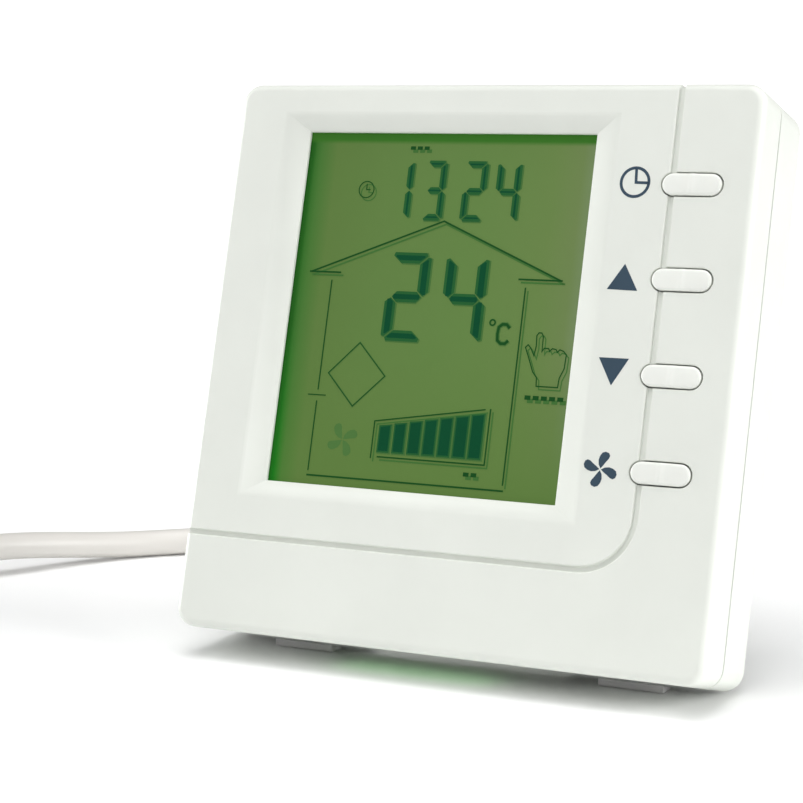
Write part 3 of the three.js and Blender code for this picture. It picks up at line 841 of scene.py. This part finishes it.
def seven_segment(box, level, upright, inset, lit):
    """Outlines of a digit's lit segments: level and upright ones have their own width."""
    u0, u1, v0, v1 = box[0] + inset, box[1] - inset, box[2] + inset, box[3] - inset
    gap = max(0.02, 0.09 * upright + 0.5 * inset)
    level, upright = level - 2 * inset, upright - 2 * inset
    middle, half = (v0 + v1) / 2, level / 2

    def mirrored(points, flip_u, flip_v):
        out = [
            (u0 + u1 - u if flip_u else u, v0 + v1 - v if flip_v else v) for u, v in points
        ]
        return out[::-1] if flip_u != flip_v else out

    blunt = 0.3 * level
    top = [
        (u0 + gap + blunt, v1 - blunt), (u0 + upright + gap, v1 - level),
        (u1 - upright - gap, v1 - level), (u1 - gap - blunt, v1 - blunt),
        (u1 - gap - 1.4 * blunt, v1), (u0 + gap + 1.4 * blunt, v1),
    ]
    upper_right = [
        (u1, v1 - gap - 1.4 * blunt), (u1 - blunt, v1 - gap - blunt),
        (u1 - upright, v1 - level - gap), (u1 - upright, middle + half + gap),
        (u1 - upright / 2, middle + gap), (u1, middle + half),
    ]
    bar = [
        (u0 + upright / 2 + gap, middle), (u0 + upright, middle - half),
        (u1 - upright, middle - half), (u1 - upright / 2 - gap, middle),
        (u1 - upright, middle + half), (u0 + upright, middle + half),
    ]
    shapes = {
        "a": top, "b": upper_right, "g": bar,
        "c": mirrored(upper_right, False, True), "d": mirrored(top, False, True),
        "e": mirrored(upper_right, True, True), "f": mirrored(upper_right, True, False),
    }
    return [shapes[key] for key in lit]


DIGITS = {"1": "bc", "2": "abged", "3": "abgcd", "4": "fgbc"}
TIME_DIGITS = [("1", 28.05, 30.86), ("3", 32.8, 36.42), ("2", 39.3, 43.25), ("4", 44.75, 48.78)]
ROOM_DIGITS = [("2", 28.5, 35.6), ("4", 38.1, 45.2)]
HAND = [
    (55.0, 40.8), (54.9, 42.1), (54.2, 42.9), (53.3, 45.0), (52.6, 46.5), (53.0, 46.9),
    (53.5, 46.4), (54.1, 45.3), (54.3, 46.8), (54.2, 48.3), (54.5, 48.75), (54.95, 48.75),
    (55.25, 48.3), (55.3, 46.0), (55.6, 46.5), (56.3, 46.5), (56.5, 46.1), (56.9, 46.5),
    (57.5, 46.4), (57.75, 46.0), (58.1, 46.4), (58.7, 46.2), (59.2, 45.7), (59.1, 43.6),
    (58.5, 42.2), (58.4, 40.8),
]
# Lines as (path, width): the echoed ones have a shadow on the reflector.
ECHOED_LINES = [
    ([(15.2, 56.6), (36.9, 65.1), (57.1, 56.6)], 0.26),
    ([(14.9, 56.62), (20.4, 56.62)], 0.26),
    ([(50.2, 56.62), (57.3, 56.62)], 0.26),
    ([(51.5, 55.4), (51.5, 25.8)], 0.22),
    ([(29.35, 28.3), (29.35, 34.0), (47.4, 36.85)], 0.2),
    ([(48.2, 37.0), (48.2, 28.6), (30.4, 28.6)], 0.22),
]
PLAIN_LINES = [
    ([(18.96, 55.4), (18.96, 38.2)], 0.2), ([(17.3, 37.4), (20.4, 37.4)], 0.16),
    ([(18.96, 36.5), (18.96, 25.7)], 0.2), ([(18.8, 25.0), (51.7, 25.0)], 0.26),
]
BARS = [
    (30.3, 32.2), (32.8, 34.7), (35.3, 37.3), (37.8, 39.8),
    (40.3, 42.3), (42.8, 44.9), (45.35, 47.4),
]
# Dashes in place of a word, as (left, right, middle height, letter height).
WORDS = [(29.6, 33.1, 76.4, 0.8), (44.8, 47.3, 27.0, 0.9), (53.2, 59.7, 39.05, 0.95)]


def segment_outlines(time_inset, room_inset, bar_inset):
    """Outlines of the lit digits and fan bars, drawn in by their insets."""
    shapes = []
    for digit, u0, u1 in TIME_DIGITS:
        shapes += seven_segment((u0, u1, 65.15, 74.5), 1.05, 1.12, time_inset, DIGITS[digit])
    for digit, u0, u1 in ROOM_DIGITS:
        shapes += seven_segment((u0, u1, 46.4, 60.1), 1.65, 1.85, room_inset, DIGITS[digit])
    for k, (u0, u1) in enumerate(BARS):
        u0, u1 = u0 + bar_inset, u1 - bar_inset
        low, top = 29.4 + bar_inset, 33.3 + 0.433 * k - bar_inset
        shapes.append([(u0, low), (u1, low), (u1, top + 0.28), (u0, top)])
    return shapes


def line_parts(front, back):
    """The fine lines that have a shadow on the reflector behind the glass."""
    lines = [stroke("line", from_left(path), width, front, back) for path, width in ECHOED_LINES]
    lines.append(stroke("hand", from_left(HAND), 0.17, front, back, closed=True))
    dial = circle(23.0 - HALF, 69.75, 1.28, 28)
    lines.append(stroke("small_clock", dial, 0.16, front, back, closed=True))
    hands = [(23.0, 70.65), (23.0, 69.75), (23.7, 69.75)]
    lines.append(stroke("small_hands", from_left(hands), 0.16, front, back))
    for u0, u1, v, high in WORDS:
        count = round((u1 - u0) / 1.2)
        pitch = (u1 - u0) / count
        low, top = v - high / 3, v + high / 3
        for k in range(count):
            start, end = u0 + pitch * (k + 0.14), u0 + pitch * (k + 0.86)
            dash = [(start, low), (end, low), (end, top), (start, top)]
            lines.append(prism("dash", from_left(dash), front, back))
    return lines


def unit_parts(front, back, fat):
    """The degree sign with its letter, and the diamond."""
    letter = [
        (49.75, 49.2), (49.2, 49.75), (48.5, 49.75), (47.95, 49.3), (47.85, 48.3),
        (47.95, 47.3), (48.5, 46.85), (49.2, 46.85), (49.7, 47.35),
    ]
    diamond = [(25.2, 45.85), (20.4, 40.9), (25.2, 36.0), (30.1, 40.9)]
    degree = circle(46.85 - HALF, 49.95, 0.42, 20)
    return [
        stroke("degree", degree, 0.2 + fat, front, back, closed=True),
        stroke("unit_c", from_left(letter), 0.42 + 2 * fat, front, back),
        stroke("diamond", from_left(diamond), 0.14 + fat, front, back, closed=True),
    ]


def show_on_display(name, solids, color, shift=(0, 0)):
    """Joins the flat solids to one piece of the display, moved by shift in x and z."""
    piece = join(solids[0], solids[1:])
    piece.name = name
    piece.data.transform(Matrix.Translation((shift[0], 0, shift[1])))
    finish_piece(piece, "housing", glowing(name + "_ink", color), weighted=False)


def film(lift):
    """Front and back depth of a thin layer that is lift in front of the glass."""
    return LCD_FRONT - lift, LCD_FRONT - lift + 0.015


def make_display():
    make_lcd_cell()
    layers = [  # name, insets of time, room and bars, shift, lift and colour
        ("lcd_segments", (0.4, 0.44, 0.14), (0, 0), 0.09, srgb(8, 74, 44)),
        ("lcd_segment_edges", (0, 0, -0.1), (0, -0.02), 0.07, srgb(38, 94, 49)),
        ("lcd_segment_shadow", (-0.1, -0.12, -0.22), (0.14, -0.1), 0.04, srgb(72, 113, 58)),
    ]
    for name, insets, shift, lift, color in layers:
        front, back = film(lift)
        shapes = segment_outlines(*insets)
        solids = [prism("segment", from_left(shape), front, back) for shape in shapes]
        show_on_display(name, solids, color, shift)
    front, back = film(0.09)
    fine = line_parts(front, back) + unit_parts(front, back, 0)
    fine += [stroke("plain", from_left(path), width, front, back) for path, width in PLAIN_LINES]
    show_on_display("lcd_outlines", fine, srgb(24, 76, 30))
    shadow = line_parts(*film(0.06))
    show_on_display("lcd_outline_shadow", shadow, srgb(66, 112, 54), (0.44, -0.46))
    front, back = film(0.03)
    halo = unit_parts(front, back, 0.16)
    halo += [prism("blade", blade, front, back) for blade in fan_blades(24.2, 30.8, 1.0, 45)]
    show_on_display("lcd_faint_marks", halo, srgb(78, 118, 61))


make_display()


# ---- rear shell ---------------------------------------------------------
def rod(name, profile, y, z, count):
    """A round bar along x about (y, z), from (x, radius) pairs."""
    turns = [2 * math.pi * k / count for k in range(count)]
    return loft(name, [
        [(x, y + radius * math.cos(turn), z + radius * math.sin(turn)) for turn in turns]
        for x, radius in profile
    ])


def slab(name, x0, x1, z0, z1, radius, profile):
    """A rounded slab with (inset, depth) rings."""
    return loft(name, [
        at_depth(rounded(x0 + i, x1 - i, z0 + i, z1 - i, max(radius - i, 0.15), 5), depth)
        for i, depth in profile
    ])


def make_rear_shell():
    curve = [(inset, REAR_FACE - depth) for inset, depth in reversed(quarter(2.5, 8))]
    rings = [(2, 18), (2, 8.4), (0.2, 8.4), (0.06, 8.46), (0, 8.6), *curve]
    shell = loft("rear_shell_body", [at_depth(square(inset), depth) for inset, depth in rings])
    walls = [
        slab("recess_wall", -18, 18, 0.6, 56.5, 0.4, [(0, 14.4), (0, 18.5)]),
        slab("pocket_wall", -18, 18, 52.5, 67.5, 0.4, [(0, 12.5), (0, 18.5)]),
    ]
    walls += [lathe("post", [(4.2, 10.6), (4.2, 18.5)], x, z, 32) for x, z in POSTS[4:]]
    boolean(shell, "UNION", walls)
    flare = [(0, 14), (0, 19.7), (-0.08, 19.9), (-0.3, 20.003), (-0.3, 21)]
    tools = [
        slab("recess", -16, 16, -3, 54.6, 0.5, [(0.3, 16.2), (0, 16.5), *flare[1:]]),
        slab("pocket", -16, 16, 54.5, 65.5, 0.6, [(0, 14.3), *flare[1:]]),
        slab("label", -24, 24, 69.3, 80.3, 1.2, [(0, 19.8), (-0.1, 20.2)]),
    ]
    for x, z in POSTS[4:]:
        tools.append(lathe("counterbore", [
            (2.9, 14), (2.9, 19.7), (3.0, 19.92), (3.15, 20.003), (3.15, 21)], x, z, 36))
        tools.append(lathe("bore", [(1.6, 9), (1.6, 15)], x, z, 20))
    tools.append(lathe("entry", [(3.6, 16), (3.6, 21)], *GLAND_AT, 32))
    for k in range(-4, 5):
        x = 4.5 * k
        for low, high, front, back in ((-1, 3, 9.8, 14), (SIDE - 3, SIDE + 1, 11, 16)):
            tools.append(slab("vent", x - 0.8, x + 0.8, low, high, 0.1, [(0, front), (0, back)]))
    tools.append(rod("rod_bore", [(-17.3, ROD_BORE), (19, ROD_BORE)], 17.9, 58, 24))
    boolean(shell, "DIFFERENCE", tools)
    finish_piece(shell, "housing", HOUSING, ["rear_shell"])
    plate = slab("blank_label", -23.6, 23.6, 69.7, 79.9, 1.0, [(0, 19.7), (0, 19.88), (0.05, 19.9)])
    sticker = moulded(
        "label_film", srgb(206, 210, 208), rough=0.5, grain=0.1, shade=0.98, relief=0.004,
    )
    finish_piece(plate, "housing", sticker)


make_rear_shell()


# ---- screws, gland, feet and stand --------------------------------------
def make_case_screw(index, x, z):
    """A pan head with a cross recess."""
    head = lathe(f"case_screw_{index}_detail", [
        (0.55, 5), (1.1, 5.8), (1.1, 14.3), (2.35, 14.3), (2.5, 14.45), (2.5, 14.9),
        (2.35, 15.25), (2.0, 15.5), (1.4, 15.66), (0.7, 15.7),
    ], x, z, 32)
    cross = []
    for wide, tall in ((1.35, 0.28), (0.28, 1.35)):
        cross.append(loft("cross", [
            at_depth(rounded(x - wide * s, x + wide * s, z - tall * s, z + tall * s, 0, 1), depth)
            for s, depth in ((0.55, 14.75), (1.0, 16))
        ]))
    boolean(head, "DIFFERENCE", cross)
    finish_piece(head, "housing", STEEL, [f"case_screw_{index}"])


for screw_index, (screw_x, screw_z) in enumerate(POSTS[4:], start=1):
    make_case_screw(screw_index, screw_x, screw_z)


def make_gland():
    """A tapered strain relief with bending ribs."""
    profile = [
        (4.6, 16.4), (4.6, 17.7), (3.3, 17.7), (3.3, 20.3), (4.5, 20.3), (4.6, 20.4), (4.6, 21.4),
        (4.3, 21.8), (3.95, 22.2),
    ]
    for k in range(7):
        start = 23.0 + 2.5 * k
        outer = 4.0 - 1.1 * (start - 22.2) / 19.8
        profile += [
            (outer, start), (outer - 0.75, start + 0.15), (outer - 0.78, start + 0.95),
            (outer - 0.08, start + 1.1), (outer - 0.1, start + 1.3),
        ]
    profile += [(2.95, 41.2), (2.9, 41.8), (2.75, 42.0)]
    gland = lathe("gland_body", profile, *GLAND_AT, 40)
    boolean(gland, "DIFFERENCE", [lathe("lead_bore", [(2.42, 17), (2.42, 43)], *GLAND_AT, 32)])
    finish_piece(gland, "housing", GLAND, ["cable_gland"])


make_gland()


def refined(node, name, body, material, width):
    """The CAD node's shape with its flat faces merged and its edges rounded."""
    mesh = nodes[node].data.copy()
    work = bmesh.new()
    work.from_mesh(mesh)
    bmesh.ops.remove_doubles(work, verts=work.verts, dist=1e-6)
    bmesh.ops.dissolve_limit(work, angle_limit=math.radians(2), verts=work.verts, edges=work.edges)
    work.to_mesh(mesh)
    work.free()
    obj = add_object(name, mesh)
    bevel = obj.modifiers.new("edges", "BEVEL")
    bevel.width = width * MM
    bevel.segments = 3
    bevel.limit_method = "ANGLE"
    apply_modifiers(obj)
    finish_piece(obj, body, material, [node], matrix=Matrix.Identity(4))


refined("foot_left", "foot_left_wedge", "housing", RUBBER, 0.1)
refined("foot_right", "foot_right_wedge", "housing", RUBBER, 0.1)
refined("stand_pad", "stand_pad_strip", "stand", RUBBER, 0.3)


def make_stand():
    """The easel plate: a round hinge barrel, a ribbed blade and a short lug."""
    thick, half = 2.4, 15.0
    end = STAND_REACH - 2.5 / math.cos(STAND_TILT)
    slant = thick / 2 * math.tan(STAND_TILT)

    def blade(inset):
        low, high = slant - end + inset, -slant - end + inset
        side = thick / 2 - inset
        return [(-side, 0), (-side, low), (side, high), (side, 0)]

    steps = quarter(0.3, 3)
    rings = [[(-half + along, y, z) for y, z in blade(inset)] for inset, along in steps]
    rings += [[(half - along, y, z) for y, z in blade(inset)] for inset, along in reversed(steps)]
    plate = loft("stand_plate", rings)
    ends = [(-half, 1.75), (-half + 0.25, 2), (half - 0.25, 2), (half, 1.75)]
    barrel = rod("barrel", ends, 0, 0, 40)
    lug = loft("lug", [
        [(x, y, z) for y, z in rounded(-1, 1, -0.5, 5, 0.6, 4)] for x in (-half, half)
    ])
    boolean(plate, "UNION", [barrel, lug])
    tools = [rod("bore", [(-half - 1, ROD_BORE), (half + 1, ROD_BORE)], 0, 0, 24)]
    hollow = [(0.2, 0.5), (0, 0.7), (0, 1.1), (-0.15, 1.25), (-0.15, 2)]
    for x0, x1 in ((-12.6, -4.9), (-3.8, 3.8), (4.9, 12.6)):
        tools.append(slab("panel", x0, x1, -49.5, -6, 1.2, hollow))
    boolean(plate, "DIFFERENCE", tools)
    finish_piece(plate, "stand", HOUSING, ["stand"], matrix=STAND)


make_stand()


# ---- inner pieces keep their CAD shape ----------------------------------
BLACK = moulded("black_plastic", srgb(30, 31, 33), rough=0.5, grain=0.3, level=0.4)
INNER = {
    ("lcd_frame", "microcontroller", "voltage_regulator", "buzzer", "cell_holder"): BLACK,
    tuple(f"{kind}_{name}" for kind in ("plunger", "switch") for name in BUTTON_HEIGHTS): BLACK,
    ("clock_crystal", "coin_cell", "hinge_rod", *(f"board_screw_{k}" for k in range(1, 5))): STEEL,
    ("backlight_guide",): moulded("light_guide", srgb(186, 230, 140), rough=0.25, grain=0.8),
    ("contact_strip_top", "contact_strip_bottom"): moulded(
        "strip_rubber", srgb(140, 144, 152), rough=0.8, grain=0.2),
    ("main_board",): moulded(
        "circuit_board", srgb(30, 104, 58), rough=0.4, grain=0.7, shade=0.8, patch=2.5),
    ("storage_capacitor",): moulded("capacitor_sleeve", srgb(38, 48, 80), rough=0.35),
    ("temperature_sensor",): moulded("sensor_resin", srgb(44, 76, 44), rough=0.3),
    ("terminal_block",): moulded("terminal_green", srgb(46, 122, 78), rough=0.45),
    ("wire_red",): moulded("wire_red", srgb(176, 40, 40), rough=0.4),
    ("wire_yellow",): moulded("wire_yellow", srgb(216, 180, 44), rough=0.4),
    ("wire_green",): moulded("wire_green", srgb(46, 142, 70), rough=0.4),
    ("wire_black",): moulded("wire_black", srgb(32, 32, 34), rough=0.4),
}
for names, inner_material in INNER.items():
    for node_name in names:
        nodes[node_name].data.materials.clear()
        nodes[node_name].data.materials.append(inner_material)


# ---- floor and light ----------------------------------------------------
def make_floor():
    floor = loft("floor", [
        [(x, y, 0) for x, y in circle(0, 0, radius, 48)] for radius in (0, 0.4, 3.0)
    ], capped=False)
    floor.location.z = -0.0001
    material, tree, shader, place = new_material("floor_pale")
    tone = spread(tree, noise(tree, place, 60), 0, 1)
    pale = blend_colors(tree, tone, srgb(250, 251, 251), srgb(253, 253, 253))
    tree.links.new(pale, shader.inputs["Base Color"])
    shader.inputs["Roughness"].default_value = 0.7
    shader.inputs["Specular IOR Level"].default_value = 0.1
    floor.data.materials.append(material)


def sun(name, towards, softness, strength):
    """A soft white light from the direction given, with its width in degrees."""
    data = bpy.data.lights.new(name, "SUN")
    data.angle = math.radians(softness)
    data.energy = strength
    light = add_object(name, data)
    light.rotation_euler = Vector(towards).to_track_quat("Z", "Y").to_euler()


def backlight_leak():
    """The faint green glow that falls through the bottom vents on the floor."""
    data = bpy.data.lights.new("backlight_leak", "AREA")
    data.shape = "RECTANGLE"
    data.size = 26 * MM
    data.size_y = 6 * MM
    data.color = (0.25, 1, 0.22)
    data.energy = 0.00008
    add_object("backlight_leak", data).location = on_floor(-5, 8, 2.4)


def make_world():
    """Even white light, and pure white where the camera looks past the floor."""
    world = bpy.data.worlds.new("studio")
    world.use_nodes = True
    tree = world.node_tree
    soft = tree.nodes["Background"]
    soft.inputs["Color"].default_value = (1, 1, 1, 1)
    soft.inputs["Strength"].default_value = 0.15
    seen = tree.nodes.new("ShaderNodeBackground")
    seen.inputs["Color"].default_value = (1, 1, 1, 1)
    seen.inputs["Strength"].default_value = 1.1
    path = tree.nodes.new("ShaderNodeLightPath")
    mix = tree.nodes.new("ShaderNodeMixShader")
    tree.links.new(path.outputs["Is Camera Ray"], mix.inputs["Fac"])
    tree.links.new(soft.outputs["Background"], mix.inputs[1])
    tree.links.new(seen.outputs["Background"], mix.inputs[2])
    tree.links.new(mix.outputs["Shader"], tree.nodes["World Output"].inputs["Surface"])
    bpy.context.scene.world = world


SUNS = (
    ("overhead", (0, -0.12, 1), 40, 1.42),
    ("front", (0, -0.6, 0.8), 50, 0.88),
    ("left_front", (-1, -0.35, 0.6), 50, 0.5),
    ("left_side", (-1, 0, 0.07), 16, 1.79),
    ("right_side", (1, 0.05, 0.3), 40, 2.3),
)
make_floor()
for sun_settings in SUNS:
    sun(*sun_settings)
backlight_leak()
make_world()
bpy.context.scene.view_settings.view_transform = "Standard"
